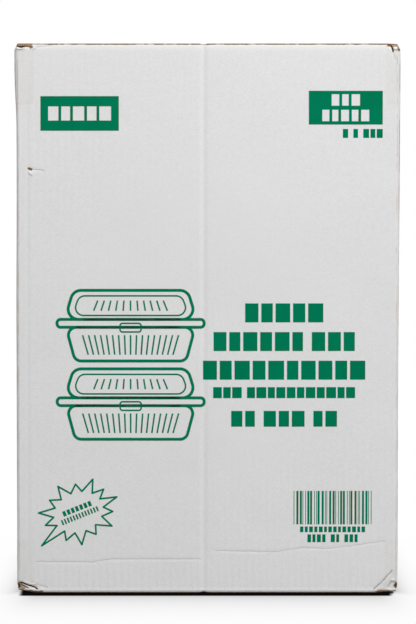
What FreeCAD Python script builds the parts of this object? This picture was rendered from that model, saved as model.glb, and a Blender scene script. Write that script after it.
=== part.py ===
import FreeCAD, Part
import math
import os

import Sketcher

# Sealed regular slotted shipping carton of white-faced corrugated board, standing on its bottom flaps.
# Millimetres. The front panel faces -Y, +X is to its right and +Z is up.
# The origin is the middle of the base. The carton and what it holds are one closed solid.

doc = FreeCAD.newDocument("shipping_carton")
sheet = doc.addObject("Spreadsheet::Sheet", "sizes")

# Driving sizes: alias, value in millimetres or as a plain number, and what it is
SIZES = [
    ("carton_length", 435, "outside width of the front panel, along X"),
    ("carton_depth", 320, "outside width of a side panel, along Y"),
    ("carton_height", 625, "outside height over the outer flaps"),
    ("board_thickness", 4, "single-wall corrugated board"),
    ("fold_radius", 5, "outside radius where the board is folded"),
    ("flap_end_setback", 3, "how far the outer flaps stop short of the side panels"),
    ("joint_setback", 2.5, "how far the left panel's glued end stops short of the back panel"),
    ("slot_run", 5, "how far a corner slot reaches along the side panel"),
    ("seam_gap", 3, "gap between the two outer flaps"),
    ("crease_place", -4, "middle of the upright shipping crease from the panel's middle"),
    ("crease_width", 9, "width of the upright shipping crease"),
    ("crease_depth", 0.6, "depth of the upright shipping crease"),
    ("scar_width", 1.2, "width of the two level crush lines near the base"),
    ("scar_depth", 0.5, "depth of the two level crush lines"),
    ("scar_inset", 22, "distance of the crush lines from the panel's upright edges"),
    ("left_scar_height", 34.5, "height of the left crush line at its outer end"),
    ("left_scar_rise", 2.5, "rise of the left crush line towards the middle"),
    ("right_scar_height", 56.5, "height of the right crush line at its outer end"),
    ("right_scar_fall", 10.5, "fall of the right crush line towards the middle"),
    ("crush_depth", 1.6, "depth of the crushed facets at the front corners"),
    ("low_left_crush_width", 24, "crushed facet at the lower left corner, across"),
    ("low_left_crush_height", 11, "crushed facet at the lower left corner, up"),
    ("low_right_crush_width", 26, "crushed facet at the lower right corner, across"),
    ("low_right_crush_height", 25, "crushed facet at the lower right corner, up"),
    ("high_left_crush_width", 20, "crushed facet at the upper left corner, across"),
    ("high_left_crush_height", 5.5, "crushed facet at the upper left corner, down"),
    ("high_right_crush_width", 16, "crushed facet at the upper right corner, across"),
    ("high_right_crush_height", 10, "crushed facet at the upper right corner, down"),
    ("tape_width", 48, "packing tape, across"),
    ("tape_film", 0.1, "packing tape, film and glue"),
    ("tape_step", 0.5, "length over which one tape climbs on another"),
    ("left_tape_on_front", 22, "share of the left tapes that lies on the front panel"),
    ("right_tape_on_front", 15, "share of the right tapes that lies on the front panel"),
    ("top_tape_tail", 69, "how far the top tapes run down the panels"),
    ("bottom_tape_tail", 61, "how far the bottom tapes run up the panels"),
    ("ink_film", 0.1, "height of the printed ink"),
    ("left_label_inset", 29, "left colour field from the left edge"),
    ("left_label_drop", 60, "left colour field from the top"),
    ("left_label_width", 88.5, "left colour field, across"),
    ("left_label_height", 39, "left colour field, up"),
    ("left_label_text_width", 71, "row left blank in the left field, across"),
    ("left_label_text_height", 16, "row left blank in the left field, up"),
    ("right_label_inset", 19.5, "right colour field from the right edge"),
    ("right_label_drop", 54, "right colour field from the top"),
    ("right_label_width", 83.5, "right colour field, across"),
    ("right_label_height", 38, "right colour field, up"),
    ("right_label_text_height", 13, "rows left blank in the right field, up"),
    ("right_label_short_row", 32, "upper blank row in the right field, across"),
    ("right_label_long_row", 53, "lower blank row in the right field, across"),
    ("right_label_row_gap", 4.5, "gap between the blank rows"),
    ("count_row_drop", 5, "row of blocks below the right field, gap"),
    ("count_row_width", 45, "row of blocks below the right field, across"),
    ("count_row_height", 10, "row of blocks below the right field, up"),
    ("title_place", 87, "middle of the title rows from the panel's middle"),
    ("title_top", 331, "height of the top of the first title row"),
    ("title_cap", 21.5, "block height in the three large rows"),
    ("title_lead", 11, "gap between the three large rows"),
    ("first_row_width", 88.5, "first large row, across"),
    ("second_row_width", 160, "second large row, across"),
    ("third_row_width", 184, "third large row, across"),
    ("fourth_row_width", 161, "small row, across"),
    ("fourth_row_cap", 12.5, "small row, up"),
    ("fourth_row_lead", 8.5, "gap above the small row"),
    ("fifth_row_width", 120, "last row, across"),
    ("fifth_row_cap", 18, "last row, up"),
    ("fifth_row_lead", 14.5, "gap above the last row"),
    ("drawing_place", -87, "middle of the line drawing from the panel's middle"),
    ("drawing_base", 174, "height of the foot of the line drawing"),
    ("drawing_width", 170, "line drawing, across"),
    ("drawing_height", 178, "line drawing, up"),
    ("drawing_corner", 9, "rounding of the drawing's bold corners"),
    ("bold_line", 3.4, "bold line of the drawing"),
    ("fine_line", 1.8, "fine line of the drawing"),
    ("star_inset", 71, "middle of the star from the left edge"),
    ("star_height", 93, "height of the star's middle"),
    ("star_width", 94, "star, across"),
    ("star_rise", 74, "star, up"),
    ("star_tail", 57, "reach of the star's one long point"),
    ("star_line", 2.0, "line of the star's outline"),
    ("star_row_width", 46, "rows of blocks in the star, across"),
    ("star_row_cap", 6, "rows of blocks in the star, up"),
    ("bars_inset", 31, "bar pattern from the right edge"),
    ("bars_base", 79, "height of the foot of the bar pattern"),
    ("bars_width", 88.5, "bar pattern, across"),
    ("bars_height", 38.5, "bar pattern, up"),
    ("bars_row_gap", 2.5, "gap below the bar pattern and its first row"),
    ("bars_first_row_width", 74, "row under the bar pattern, across"),
    ("bars_first_row_cap", 6.5, "row under the bar pattern, up"),
    ("bars_second_row_width", 57, "second row under the bar pattern, across"),
    ("bars_second_row_cap", 9, "second row under the bar pattern, up"),
    ("letter_gap", 3.2, "gap between two large blocks"),
    ("small_gap", 1.6, "gap between two small blocks"),
    ("word_gap", 10, "gap between two words of large blocks"),
    ("small_word_gap", 6, "gap between two words of small blocks"),
]
for row, (alias, value, meaning) in enumerate(SIZES, start=1):
    sheet.set(f"A{row}", alias)
    sheet.set(f"B{row}", str(value))
    sheet.set(f"C{row}", meaning)
    sheet.setAlias(f"B{row}", alias)
doc.recompute()


class Size:
    """A length that knows its number and the sheet expression that drives it."""

    def __init__(self, number, text):
        self.number = number
        self.text = text

    def __add__(self, other):
        other = as_size(other)
        return Size(self.number + other.number, f"({self.text} + {other.text})")

    def __sub__(self, other):
        other = as_size(other)
        return Size(self.number - other.number, f"({self.text} - {other.text})")

    def __mul__(self, other):
        other = as_size(other)
        return Size(self.number * other.number, f"({self.text} * {other.text})")

    def __truediv__(self, other):
        other = as_size(other)
        return Size(self.number / other.number, f"({self.text} / {other.text})")

    def __neg__(self):
        return self * -1

    def root(self):
        """Its square root."""
        return Size(math.sqrt(self.number), f"sqrt({self.text})")


def as_size(value):
    """A Size as it is, or a plain number as a Size of its own."""
    return value if isinstance(value, Size) else Size(float(value), f"({value})")


def named(alias):
    """The sheet's value of that name."""
    return Size(float(sheet.get(alias)), f"sizes.{alias}")


LENGTH = named("carton_length")
DEPTH = named("carton_depth")
HEIGHT = named("carton_height")
BOARD = named("board_thickness")
FOLD = named("fold_radius")
SETBACK = named("flap_end_setback")
TAPE = named("tape_width")
FILM = named("tape_film")
INK = named("ink_film")
NOTHING = as_size(0)
CLEAR = as_size(2)  # how far a cutting shape stands out past what it cuts
SIGNS = (-1, 1)
SIDE_WORDS = {-1: "left", 1: "right"}


# Sketches, pads and pockets


def sketch_on(body, role, name, offset=NOTHING):
    """A sketch on one of the body's own origin planes, moved out along the plane's normal."""
    plane = next(f for f in body.Origin.OriginFeatures if f.Role == role)
    sketch = body.newObject("Sketcher::SketchObject", name)
    sketch.AttachmentSupport = [(plane, "")]
    sketch.MapMode = "FlatFace"
    sketch.setExpression("AttachmentOffset.Base.z", offset.text)
    return sketch


def hold(sketch, kind, edge, end, size):
    """Drives one coordinate of an edge's end by the sheet."""
    place = sketch.addConstraint(Sketcher.Constraint(kind, -1, 1, edge, end, size.number))
    sketch.setExpression(f"Constraints[{place}]", size.text)


def loop(sketch, corners, arc=None):
    """A closed outline through corners, each a pair of Sizes. arc is (corner number, centre, radius): the edge that
    leaves that corner is then a round one about that centre."""
    first = sketch.GeometryCount
    points = [FreeCAD.Vector(u.number, v.number, 0) for u, v in corners]
    for i, point in enumerate(points):
        after = points[(i + 1) % len(points)]
        if arc and arc[0] == i:
            centre = FreeCAD.Vector(arc[1][0].number, arc[1][1].number, 0)
            middle = (point + after) / 2 - centre
            middle.normalize()
            crown = centre + middle * arc[2].number
            sketch.addGeometry(Part.Arc(point, crown, after))
        else:
            sketch.addGeometry(Part.LineSegment(point, after))
    starts = []
    for i, point in enumerate(points):
        edge = first + i
        start = 1
        if arc and arc[0] == i and sketch.getPoint(edge, 1).distanceToPoint(point) > 1e-6:
            start = 2
        starts.append((edge, start))
    for i, (edge, start) in enumerate(starts):
        following, following_start = starts[(i + 1) % len(starts)]
        sketch.addConstraint(Sketcher.Constraint("Coincident", edge, 3 - start, following, following_start))
    for (edge, start), (u, v) in zip(starts, corners):
        hold(sketch, "DistanceX", edge, start, u)
        hold(sketch, "DistanceY", edge, start, v)
    if arc:
        bend = sketch.addConstraint(Sketcher.Constraint("Radius", first + arc[0], arc[2].number))
        sketch.setExpression(f"Constraints[{bend}]", arc[2].text)


def block(sketch, low, high):
    """A rectangle between two corners."""
    loop(sketch, [(low[0], low[1]), (high[0], low[1]), (high[0], high[1]), (low[0], high[1])])


def pad(body, sketch, name, length):
    """Raises a sketch along its normal."""
    feature = body.newObject("PartDesign::Pad", name)
    feature.Profile = sketch
    feature.setExpression("Length", length.text)
    return feature


def pocket(body, sketch, name, depth=None, reverse=False):
    """Cuts a sketch into the body, by depth or right through both ways, and stops if it cut nothing."""
    doc.recompute()
    before = body.Shape.Volume
    feature = body.newObject("PartDesign::Pocket", name)
    feature.Profile = sketch
    if depth is None:
        feature.Type = "ThroughAll"
        feature.Midplane = True
    else:
        feature.Type = "Length"
        feature.Reversed = reverse
        feature.setExpression("Length", depth.text)
    doc.recompute()
    if not body.Shape.Volume < before:
        raise RuntimeError(f"{name} cuts nothing")
    return feature


# The folded form that the carton and the tape on it share


def corner_waste(sketch, half_width, low, high, radius):
    """Outside of the four round corners of an outline that spans half_width each way and low to high."""
    for side in SIGNS:
        edge = half_width * side
        tangent = (half_width - radius) * side
        for level, inward in ((high, -1), (low, 1)):
            bend = level + radius * inward
            out_u = (half_width + CLEAR) * side
            out_v = level - CLEAR * inward
            corners = [(tangent, level), (edge, bend), (out_u, bend), (out_u, out_v), (tangent, out_v)]
            loop(sketch, corners, arc=(0, (tangent, bend), radius))


def folded_block(body, layer):
    """A block of the carton's outside size, grown by a number of tape films, with its folds round."""
    grow = FILM * layer
    half_length, half_depth = LENGTH / 2 + grow, DEPTH / 2 + grow
    low, high = -grow, HEIGHT + grow
    plan = sketch_on(body, "XY_Plane", f"{body.Name}_plan", low)
    block(plan, (-half_length, -half_depth), (half_length, half_depth))
    pad(body, plan, f"{body.Name}_block", high - low)
    across = sketch_on(body, "YZ_Plane", f"{body.Name}_fold_section")
    corner_waste(across, half_depth, low, high, FOLD + grow)
    pocket(body, across, f"{body.Name}_flap_folds")
    upright = sketch_on(body, "XY_Plane", f"{body.Name}_corner_section")
    corner_waste(upright, half_length, -half_depth, half_depth, FOLD + grow)
    pocket(body, upright, f"{body.Name}_panel_folds")


def taped_form(layer):
    """The shape that tape lies on: the folded block with its side edges cut to the line from the outer flap's
    end to the inner flap's fold, where the tape bridges them."""
    body = doc.addObject("PartDesign::Body", f"tape_form_{layer}")
    folded_block(body, layer)
    grow = FILM * layer
    slope = sketch_on(body, "XZ_Plane", f"{body.Name}_bridges")
    # The line from the raw end touches the fold and meets the side panel's plane this far from the top or base
    lead = (FOLD - SETBACK) * (BOARD + FOLD)
    span = FOLD * 2 - SETBACK
    drop = (lead + (lead * lead + span * SETBACK * BOARD * (BOARD + FOLD * 2)).root()) / span
    for side in SIGNS:
        edge = (LENGTH / 2 + grow) * side
        shoulder = (LENGTH / 2 - SETBACK + grow * 0.5) * side
        out = (LENGTH / 2 + grow + CLEAR) * side
        for level, inward in ((HEIGHT + grow, -1), (-grow, 1)):
            bend = level + (drop + grow * 0.5) * inward
            out_level = level - CLEAR * inward
            loop(slope, [(shoulder, level), (edge, bend), (out, bend), (out, out_level), (shoulder, out_level)])
    pocket(body, slope, f"{body.Name}_side_edges")
    return body


# The carton


def raw_end_waste(edge, side, level, inward, setback):
    """What is missing where a raw end stops short over a fold, as corners and the fold's arc."""
    tangent, raw_end, out = edge - FOLD * side, edge - setback * side, edge + CLEAR * side
    under = level + BOARD * inward
    bend = under + FOLD * inward
    past = level - CLEAR * inward
    corners = [(tangent, under), (edge, bend), (out, bend), (out, past), (raw_end, past), (raw_end, under)]
    return corners, (0, (tangent, bend), FOLD)


def flap_ends(body):
    """The side edges: the outer flap's raw end, set back, over the round fold of the inner flap."""
    section = sketch_on(body, "XZ_Plane", "flap_end_section")
    for side in SIGNS:
        for level, inward in ((HEIGHT, -1), (NOTHING, 1)):
            corners, arc = raw_end_waste((LENGTH / 2) * side, side, level, inward, SETBACK)
            loop(section, corners, arc)
    pocket(body, section, "flap_ends")


def glued_joint(body):
    """The upright edge at the back left, where the left panel's raw end is glued over the back panel's tab."""
    plan = sketch_on(body, "XY_Plane", "joint_plan")
    corners, (bend, centre, radius) = raw_end_waste(DEPTH / 2, 1, -(LENGTH / 2), 1, named("joint_setback"))
    loop(plan, [(u, v) for v, u in corners], (bend, (centre[1], centre[0]), radius))
    pocket(body, plan, "glued_joint")


def corner_slots(body):
    """The slots between flaps, which leave a notch over the end of each upright fold."""
    for name, level, reverse in (("top", HEIGHT, False), ("bottom", NOTHING, True)):
        plan = sketch_on(body, "XY_Plane", f"{name}_slot_plan", level)
        for side in SIGNS:
            for end in SIGNS:
                inner = ((LENGTH / 2 - SETBACK) * side, (DEPTH / 2 - named("slot_run")) * end)
                outer = ((LENGTH / 2 + CLEAR) * side, (DEPTH / 2 + CLEAR) * end)
                block(plan, inner, outer)
        pocket(body, plan, f"{name}_slots", BOARD + FOLD, reverse)


def flap_seams(body):
    """The gap between the outer flaps, on top and underneath."""
    section = sketch_on(body, "YZ_Plane", "seam_section")
    half = named("seam_gap") / 2
    block(section, (-half, HEIGHT - BOARD), (half, HEIGHT + CLEAR))
    block(section, (-half, -CLEAR), (half, BOARD))
    pocket(body, section, "flap_seams")


def upright_crease(body):
    """The shallow valley down the middle of the front, from being shipped flat."""
    plan = sketch_on(body, "XY_Plane", "crease_plan")
    middle, half = named("crease_place"), named("crease_width") / 2
    face = -(DEPTH / 2)
    loop(plan, [(middle - half, face), (middle + half, face), (middle, face + named("crease_depth"))])
    pocket(body, plan, "upright_crease")


def crush_lines(body):
    """Two level lines near the base, where the board buckled a little."""
    front = sketch_on(body, "XZ_Plane", "crush_line_face", DEPTH / 2)
    line = named("scar_width")
    inset, middle = LENGTH / 2 - named("scar_inset"), named("crease_place")
    clear = named("crease_width")
    left, rise = named("left_scar_height"), named("left_scar_rise")
    right, fall = named("right_scar_height"), named("right_scar_fall")
    left_in, right_in = middle - clear, middle + clear
    left_bend, right_bend = (left_in - inset) * 0.5, (right_in + inset) * 0.5
    for points in (
        [(-inset, left), (left_bend, left), (left_in, left + rise)],
        [(right_in, right - fall), (right_bend, right - fall * 0.6), (inset, right)],
    ):
        band = points + [(u, v + line) for u, v in reversed(points)]
        loop(front, band)
    pocket(body, front, "crush_lines", named("scar_depth"))


def crushed_corners(body):
    """The facets that knocks have pressed into the four front corners."""
    front = sketch_on(body, "XZ_Plane", "crushed_corner_face", DEPTH / 2)
    for side, word in SIDE_WORDS.items():
        edge = (LENGTH / 2 + CLEAR) * side
        for level, inward, place in ((NOTHING, 1, "low"), (HEIGHT, -1, "high")):
            across = named(f"{place}_{word}_crush_width")
            along = named(f"{place}_{word}_crush_height")
            past = level - CLEAR * inward
            start = (LENGTH / 2 - across) * side
            loop(front, [(start, past), (edge, past), (edge, level + along * inward)])
    pocket(body, front, "crushed_corners", named("crush_depth"))


def carton():
    """Board and contents as one closed solid, with every fold, raw end, slot, seam and crease of the outside."""
    body = doc.addObject("PartDesign::Body", "carton")
    folded_block(body, 0)
    flap_ends(body)
    glued_joint(body)
    corner_slots(body)
    flap_seams(body)
    upright_crease(body)
    crush_lines(body)
    crushed_corners(body)
    return body


# The tape


def zone(name, low, high):
    """A box between two corners, each three Sizes."""
    box = doc.addObject("Part::Box", name)
    for axis, size, start, stop in zip("xyz", ("Length", "Width", "Height"), low, high):
        box.setExpression(f"Placement.Base.{axis}", start.text)
        box.setExpression(size, (stop - start).text)
    return box


def joined(kind, name, shapes):
    """A fuse, common or compound of several objects."""
    result = doc.addObject(kind, name)
    if kind == "Part::Compound":
        result.Links = shapes
    else:
        result.Shapes = shapes
    return result


def cut(name, base, tool):
    """base less tool."""
    result = doc.addObject("Part::Cut", name)
    result.Base = base
    result.Tool = tool
    return result


def film_in(name, area, under, over):
    """The film of tape between two forms, where area says that the tape lies."""
    return cut(name, joined("Part::MultiCommon", f"{name}_skin", [over, area]), under)


def end_span(level, reach):
    """Heights from past the top or bottom face to reach inside it."""
    return (HEIGHT - reach, HEIGHT + CLEAR) if level == "top" else (-CLEAR, reach)


def strip_across(side, past=NOTHING):
    """From where to where an edge tape reaches along X, with its end on top or underneath moved out past itself."""
    outside = (LENGTH / 2 + CLEAR) * side
    inside = (LENGTH / 2 - named(f"{SIDE_WORDS[side]}_tape_on_front") - past) * side
    return (outside, inside) if side < 0 else (inside, outside)


def edge_tape(level, side, forms):
    """Tape along one side edge, turned along the upright edges front and back."""
    word = SIDE_WORDS[side]
    name = f"{level}_{word}_edge_tape"
    on_side = TAPE - named(f"{word}_tape_on_front")
    left, right = strip_across(side)
    far = DEPTH / 2 + CLEAR
    low, high = end_span(level, on_side)
    tail_low, tail_high = end_span(level, named(f"{level}_tape_tail"))
    wrap = DEPTH / 2 - on_side
    areas = [
        zone(f"{name}_along", (left, -far, low), (right, far, high)),
        zone(f"{name}_front_tail", (left, -far, tail_low), (right, -wrap, tail_high)),
        zone(f"{name}_back_tail", (left, wrap, tail_low), (right, far, tail_high)),
    ]
    return film_in(name, joined("Part::MultiFuse", f"{name}_area", areas), forms[0], forms[1])


def seam_tape(level, forms, edges):
    """Tape over the gap between the outer flaps, laid last: it climbs over both edge tapes and turns down both side
    panels."""
    name = f"{level}_seam_tape"
    half = TAPE / 2
    out = LENGTH / 2 + CLEAR
    low, high = end_span(level, named(f"{level}_tape_tail"))
    lower = film_in(f"{name}_lower", zone(f"{name}_area", (-out, -half, low), (out, half, high)), forms[0], forms[1])
    beside = cut(f"{name}_beside_edges", lower, joined("Part::MultiFuse", f"{name}_edges", edges))
    step = named("tape_step")
    crossings = []
    for side in SIGNS:
        left, right = strip_across(side, step)
        low, high = end_span(level, TAPE - named(f"{SIDE_WORDS[side]}_tape_on_front") + step)
        crossings.append(zone(f"{name}_{SIDE_WORDS[side]}_crossing", (left, -half, low), (right, half, high)))
    over_edges = joined("Part::MultiFuse", f"{name}_crossings", crossings)
    return joined("Part::MultiFuse", name, [beside, film_in(f"{name}_upper", over_edges, forms[1], forms[2])])


# The print, as fields of colour and plain blocks

RHYTHM = (1.0, 0.86, 1.1, 0.92, 1.14, 0.82, 1.04)  # relative widths of neighbouring blocks in a row


def ink_block(name, left, low, width, height):
    """One printed rectangle on the front panel."""
    back = -(DEPTH / 2)
    return zone(name, (left, back - INK, low), (left + width, back, low + height))


def row_of_blocks(name, middle, low, width, cap, words, gap, space):
    """A row of blocks where a line of words would be: words gives how many blocks each group has."""
    count = sum(words)
    gaps = gap * (count - len(words)) + space * (len(words) - 1)
    solid = width - gaps
    weights = [RHYTHM[i % len(RHYTHM)] for i in range(count)]
    total = sum(weights)
    blocks = []
    left = middle - width / 2
    for word in words:
        for letter in range(word):
            number = len(blocks)
            across = solid * round(weights[number] / total, 5)
            blocks.append(ink_block(f"{name}_{number + 1}", left, low, across, cap))
            left = left + across + (gap if letter < word - 1 else space)
    return blocks


def left_label():
    """The colour field at the upper left, with a row of blocks left blank in it."""
    left = named("left_label_inset") - LENGTH / 2
    width, height = named("left_label_width"), named("left_label_height")
    low = HEIGHT - named("left_label_drop") - height
    field = ink_block("left_field", left, low, width, height)
    cap = named("left_label_text_height")
    blanks = row_of_blocks(
        "left_blank", left + width / 2, low + (height - cap) / 2, named("left_label_text_width"), cap,
        [5], named("letter_gap"), named("word_gap"),
    )
    return cut("left_label_print", field, joined("Part::Compound", "left_blanks", blanks))


def right_label():
    """The colour field at the upper right, with two rows left blank in it, and a row of blocks below."""
    width, height = named("right_label_width"), named("right_label_height")
    left = LENGTH / 2 - named("right_label_inset") - width
    low = HEIGHT - named("right_label_drop") - height
    field = ink_block("right_field", left, low, width, height)
    cap, lead = named("right_label_text_height"), named("right_label_row_gap")
    middle = left + width / 2
    margin = (height - cap * 2 - lead) / 2
    gap, space = named("letter_gap"), named("word_gap")
    upper_low = low + margin + cap + lead
    blanks = row_of_blocks("right_upper_blank", middle, upper_low, named("right_label_short_row"), cap, [3], gap, space)
    blanks += row_of_blocks("right_lower_blank", middle, low + margin, named("right_label_long_row"), cap, [5], gap, space)
    punched = cut("right_field_punched", field, joined("Part::Compound", "right_blanks", blanks))
    row, row_cap = named("count_row_width"), named("count_row_height")
    row_low = low - named("count_row_drop") - row_cap
    count = row_of_blocks(
        "count_block", left + width - row / 2, row_low, row, row_cap, [1, 1, 3], named("small_gap"),
        named("small_word_gap"),
    )
    return joined("Part::Compound", "right_label_print", [punched] + count)


def title():
    """The five rows of blocks beside the drawing."""
    middle, cap, lead = named("title_place"), named("title_cap"), named("title_lead")
    gap, space = named("letter_gap"), named("word_gap")
    small, small_space = named("small_gap"), named("small_word_gap")
    top = named("title_top")
    first = top - cap
    second = first - lead - cap
    third = second - lead - cap
    fourth_cap, fifth_cap = named("fourth_row_cap"), named("fifth_row_cap")
    fourth = third - named("fourth_row_lead") - fourth_cap
    fifth = fourth - named("fifth_row_lead") - fifth_cap
    blocks = row_of_blocks("title_first", middle, first, named("first_row_width"), cap, [5], gap, space)
    blocks += row_of_blocks("title_second", middle, second, named("second_row_width"), cap, [6, 3], gap, space)
    blocks += row_of_blocks("title_third", middle, third, named("third_row_width"), cap, [10], gap, space)
    blocks += row_of_blocks(
        "title_fourth", middle, fourth, named("fourth_row_width"), fourth_cap, [3, 11], small, small_space
    )
    blocks += row_of_blocks("title_fifth", middle, fifth, named("fifth_row_width"), fifth_cap, [2, 3, 2], gap, space)
    return joined("Part::Compound", "title_print", blocks)


def bar_pattern():
    """Upright bars of uneven widths with two rows of small blocks below."""
    width, height = named("bars_width"), named("bars_height")
    left = LENGTH / 2 - named("bars_inset") - width
    low = named("bars_base")
    bars = 29
    thick = [1 + (7 * k * k + 3 * k) % 4 for k in range(bars)]
    blank = [1 + (5 * k + 2) % 3 for k in range(bars - 1)] + [0]
    unit = width / (sum(thick) + sum(blank))
    blocks = []
    for number, (bar, gap) in enumerate(zip(thick, blank)):
        blocks.append(ink_block(f"bar_{number + 1}", left, low, unit * bar, height))
        left = left + unit * (bar + gap)
    middle = LENGTH / 2 - named("bars_inset") - width / 2
    gap, space, lead = named("small_gap"), named("small_word_gap"), named("bars_row_gap")
    first_cap, second_cap = named("bars_first_row_cap"), named("bars_second_row_cap")
    first = low - lead - first_cap
    second = first - lead - second_cap
    blocks += row_of_blocks("under_bars", middle, first, named("bars_first_row_width"), first_cap, [14], gap, space)
    blocks += row_of_blocks(
        "under_bars_low", middle, second, named("bars_second_row_width"), second_cap, [4, 2, 3], gap, space
    )
    return joined("Part::Compound", "bar_pattern_print", blocks)


# The line drawing and the star, whose lines are worked out on the panel and raised by the ink's height


def on_panel(u, v):
    """A point of the front panel: u across from its middle, v up from the base."""
    return FreeCAD.Vector(u, -DEPTH.number / 2, v)


def rounded_loop(corners, radius):
    """A closed wire through corners with each one rounded."""
    edges = []
    stops = []
    for i, corner in enumerate(corners):
        before, after = corners[i - 1], corners[(i + 1) % len(corners)]
        back, ahead = (before - corner).normalize(), (after - corner).normalize()
        half = back.getAngle(ahead) / 2
        reach = radius / math.tan(half)
        crown = corner + (back + ahead).normalize() * (radius / math.sin(half) - radius)
        stops.append((corner + back * reach, crown, corner + ahead * reach))
    for i, (start, crown, end) in enumerate(stops):
        edges.append(Part.Arc(start, crown, end).toShape())
        following = stops[(i + 1) % len(stops)][0]
        if end.distanceToPoint(following) > 1e-6:
            edges.append(Part.makeLine(end, following))
    return Part.Wire(edges)


def band(wire, line):
    """A closed line of that width along a closed wire."""
    outer = Part.Face(wire.makeOffset2D(line / 2))
    inner = Part.Face(wire.makeOffset2D(-line / 2))
    return outer.cut(inner) if outer.Area > inner.Area else inner.cut(outer)


def stroke(start, end, line):
    """A straight line of that width with square ends."""
    along = (end - start).normalize()
    aside = along.cross(FreeCAD.Vector(0, 1, 0)) * (line / 2)
    return Part.Face(Part.makePolygon([start + aside, end + aside, end - aside, start - aside, start + aside]))


def inked(faces):
    """Faces on the front panel, merged and raised by the ink's height."""
    flat = faces[0].multiFuse(faces[1:]).removeSplitter()
    solids = [face.extrude(FreeCAD.Vector(0, -INK.number, 0)) for face in flat.Faces]
    return Part.makeCompound(solids)


def ribs(low_half, low, high_half, high, count, line, at):
    """Evenly spread fine lines up a wall, whose outer ends and heights are given."""
    shares = [2 * (i + 0.5) / count - 1 for i in range(count)]
    return [stroke(at(low_half * s, low), at(high_half * s, high), line) for s in shares]


def container_drawing():
    """Two closed food boxes, one on the other, drawn square from the front. Each has a ribbed base that narrows
    downwards, a flat rim with a tab, and a lid that narrows upwards. Shares are of the drawing's size."""
    width, height = named("drawing_width").number, named("drawing_height").number
    middle, foot = named("drawing_place").number, named("drawing_base").number
    bold, fine = named("bold_line").number, named("fine_line").number
    corner = named("drawing_corner").number
    boxes = 2
    faces = []
    for box in range(boxes):

        def at(across, up):
            return on_panel(middle + across * width, foot + (box + up) * height / boxes)

        def tapered(low_half, low, high_half, high):
            return [at(-low_half, low), at(low_half, low), at(high_half, high), at(-high_half, high)]

        faces.append(band(rounded_loop(tapered(0.37, 0.03, 0.43, 0.46), corner), bold))
        faces.append(band(rounded_loop(tapered(0.49, 0.46, 0.49, 0.56), corner * 0.45), bold))
        faces.append(band(rounded_loop(tapered(0.44, 0.56, 0.38, 0.93), corner * 1.3), bold))
        faces.append(band(rounded_loop(tapered(0.07, 0.40, 0.07, 0.51), corner * 0.3), fine))
        faces.append(band(rounded_loop(tapered(0.39, 0.61, 0.34, 0.86), corner), fine))
        faces += ribs(0.30, 0.11, 0.34, 0.36, 17, fine, at)
        faces += ribs(0.27, 0.67, 0.24, 0.80, 11, fine, at)
    return inked(faces)


def star():
    """A burst outline, leaning a little, with one long point and two rows of small blocks in it."""
    half_width, half_rise = named("star_width").number / 2, named("star_rise").number / 2
    centre = on_panel(named("star_inset").number - LENGTH.number / 2, named("star_height").number)
    lean = math.radians(22)
    along = FreeCAD.Vector(math.cos(lean), 0, math.sin(lean))
    upward = FreeCAD.Vector(-math.sin(lean), 0, math.cos(lean))
    points, tail = 14, 8
    valley = 0.62
    corners = []
    for k in range(points):
        for place, share in ((k, 0.93 + 0.07 * (-1) ** k), (k + 0.5, valley)):
            angle = 2 * math.pi * place / points
            arm = along * (half_width * math.cos(angle)) + upward * (half_rise * math.sin(angle))
            if place == tail:
                arm.normalize()
                arm, share = arm * named("star_tail").number, 1
            corners.append(centre + arm * share)
    faces = [band(Part.makePolygon(corners + corners[:1]), named("star_line").number)]
    row, cap, gap = named("star_row_width").number, named("star_row_cap").number, named("small_gap").number
    for count, share, shift in ((7, 0.78, 0.72), (13, 1.0, -0.72)):
        pitch = row * share / count
        half = along * ((pitch - gap) / 2)
        for k in range(count):
            block_centre = centre + upward * (shift * cap) + along * ((k + 0.5 - count / 2) * pitch)
            faces.append(stroke(block_centre - half, block_centre + half, cap))
    return inked(faces)


def drawn(name, shape):
    """A node whose shape is worked out from the sheet's values."""
    feature = doc.addObject("Part::Feature", name)
    feature.Shape = shape
    return feature


# Build, check and write

forms = [taped_form(layer) for layer in range(3)]
nodes = [carton()]
for level in ("top", "bottom"):
    edges = [edge_tape(level, side, forms) for side in SIGNS]
    nodes += [seam_tape(level, forms, edges), *edges]
nodes += [left_label(), right_label(), title(), bar_pattern()]
nodes.append(drawn("drawing_print", container_drawing()))
nodes.append(drawn("star_print", star()))
doc.recompute()

for item in doc.Objects:
    if "Invalid" in item.State or "Error" in item.State:
        raise RuntimeError(f"{item.Label} could not be built: {item.State}")
for node in nodes:
    node.Label = node.Name
    if node.Shape.isNull() or not node.Shape.isValid() or not node.Shape.Solids:
        raise RuntimeError(f"{node.Label} is not a sound solid")

os.makedirs("parts", exist_ok=True)
for node in nodes:
    node.Shape.exportStep(f"parts/{node.Label}.step")
    print(f"{node.Label}: {len(node.Shape.Solids)} solids, {node.Shape.Volume:.1f} mm3")
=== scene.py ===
"""A sealed corrugated shipping carton with tape and one-colour print, dressed on its CAD frame.

Everything is in metres in the CAD frame: the front panel faces -Y, +X is to its right and Z is up.
"""

import math

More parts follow.
